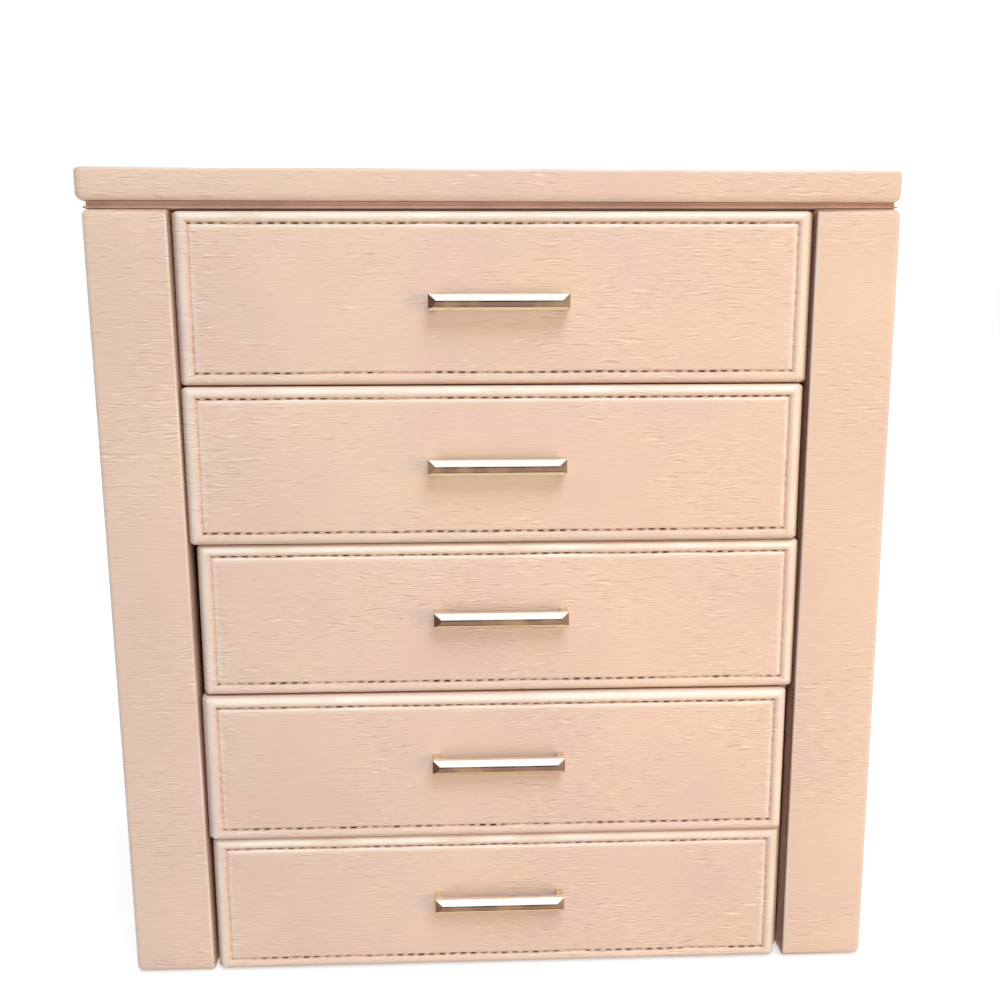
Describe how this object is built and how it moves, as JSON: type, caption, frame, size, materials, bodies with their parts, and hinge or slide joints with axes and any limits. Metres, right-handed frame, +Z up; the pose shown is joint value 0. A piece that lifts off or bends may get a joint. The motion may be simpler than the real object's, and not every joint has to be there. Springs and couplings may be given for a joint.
{
  "type": "jewelry organizer",
  "caption": "Table-top jewelry box with stitched drawer fronts and bar pulls, a hinged mirror lid over a ring tray, and side wing doors with necklace hooks.",
  "frame": {"origin": "on the table surface, under the centre of the object's bounding box", "axes": "+Z up, -Y towards the side with the drawer fronts, +X to the right seen from the front"},
  "size_m": [0.3032, 0.23, 0.3186],
  "materials": {
    "leatherette": "pale dusty peach leatherette with a fine horizontal ripple emboss, satin",
    "velvet": "cream velvet over board",
    "ring_velvet": "cream velvet over foam",
    "board_paper": "fibreboard faced with matt paper",
    "base_felt": "thin needled felt",
    "pull_metal": "polished pale champagne gold plating",
    "hinge_metal": "satin gold-tone plating",
    "bright_steel": "zinc-plated steel",
    "mirror_glass": "silvered glass with bevelled edges",
    "pocket_cloth": "gathered satin cloth"
  },
  "bodies": {
    "case": {"base_felt": "base_felt", "base_board": "board_paper", "side_panel_left": "velvet", "side_panel_right": "velvet", "back_panel": "leatherette", "shelf_1": "board_paper", "shelf_2": "board_paper", "shelf_3": "board_paper", "shelf_4": "board_paper", "top_tray_floor": "velvet", "top_tray_front": "velvet", "top_tray_dividers": "velvet", "ring_rolls": "ring_velvet", "catch_plates": "bright_steel", "lid_hinge_case_leaves": "hinge_metal", "door_hinge_case_leaves": "hinge_metal", "hinge_pins": "hinge_metal"},
    "lid": {"lid_board": "leatherette", "lid_lining": "velvet", "lid_mirror": "mirror_glass", "lid_hinge_leaves": "hinge_metal"},
    "door_left": {"door_left_shell": "leatherette", "door_left_card": "velvet", "door_left_hook_strip": "hinge_metal", "door_left_pocket": "pocket_cloth", "door_left_magnets": "bright_steel", "door_left_hinge_leaves": "hinge_metal"},
    "door_right": {"door_right_shell": "leatherette", "door_right_card": "velvet", "door_right_hook_strip": "hinge_metal", "door_right_pocket": "pocket_cloth", "door_right_magnets": "bright_steel", "door_right_hinge_leaves": "hinge_metal"},
    "drawer_1": {"drawer_1_front": "leatherette", "drawer_1_box": "velvet", "drawer_1_pull": "pull_metal"},
    "drawer_2": {"drawer_2_front": "leatherette", "drawer_2_box": "velvet", "drawer_2_pull": "pull_metal", "drawer_2_dividers": "velvet"},
    "drawer_3": {"drawer_3_front": "leatherette", "drawer_3_box": "velvet", "drawer_3_pull": "pull_metal"},
    "drawer_4": {"drawer_4_front": "leatherette", "drawer_4_box": "velvet", "drawer_4_pull": "pull_metal", "drawer_4_dividers": "velvet"},
    "drawer_5": {"drawer_5_front": "leatherette", "drawer_5_box": "velvet", "drawer_5_pull": "pull_metal"}
  },
  "joints": [
    {"name": "lid_hinge", "type": "hinge", "parent": "case", "child": "lid", "pos_m": [0, 0.1127, 0.30575], "axis": [-1, 0, 0], "range_deg": [0, 100]},
    {"name": "door_left_hinge", "type": "hinge", "parent": "case", "child": "door_left", "pos_m": [-0.1179, 0.1127, 0.151], "axis": [0, 0, -1], "range_deg": [0, 105]},
    {"name": "door_right_hinge", "type": "hinge", "parent": "case", "child": "door_right", "pos_m": [0.1179, 0.1127, 0.151], "axis": [0, 0, 1], "range_deg": [0, 105]},
    {"name": "drawer_1_slide", "type": "slide", "parent": "case", "child": "drawer_1", "axis": [0, -1, 0], "range_m": [0, 0.15]},
    {"name": "drawer_2_slide", "type": "slide", "parent": "case", "child": "drawer_2", "axis": [0, -1, 0], "range_m": [-0.0017, 0.1483]},
    {"name": "drawer_3_slide", "type": "slide", "parent": "case", "child": "drawer_3", "axis": [0, -1, 0], "range_m": [0, 0.15]},
    {"name": "drawer_4_slide", "type": "slide", "parent": "case", "child": "drawer_4", "axis": [0, -1, 0], "range_m": [-0.0017, 0.1483]},
    {"name": "drawer_5_slide", "type": "slide", "parent": "case", "child": "drawer_5", "axis": [0, -1, 0], "range_m": [0, 0.15]}
  ]
}
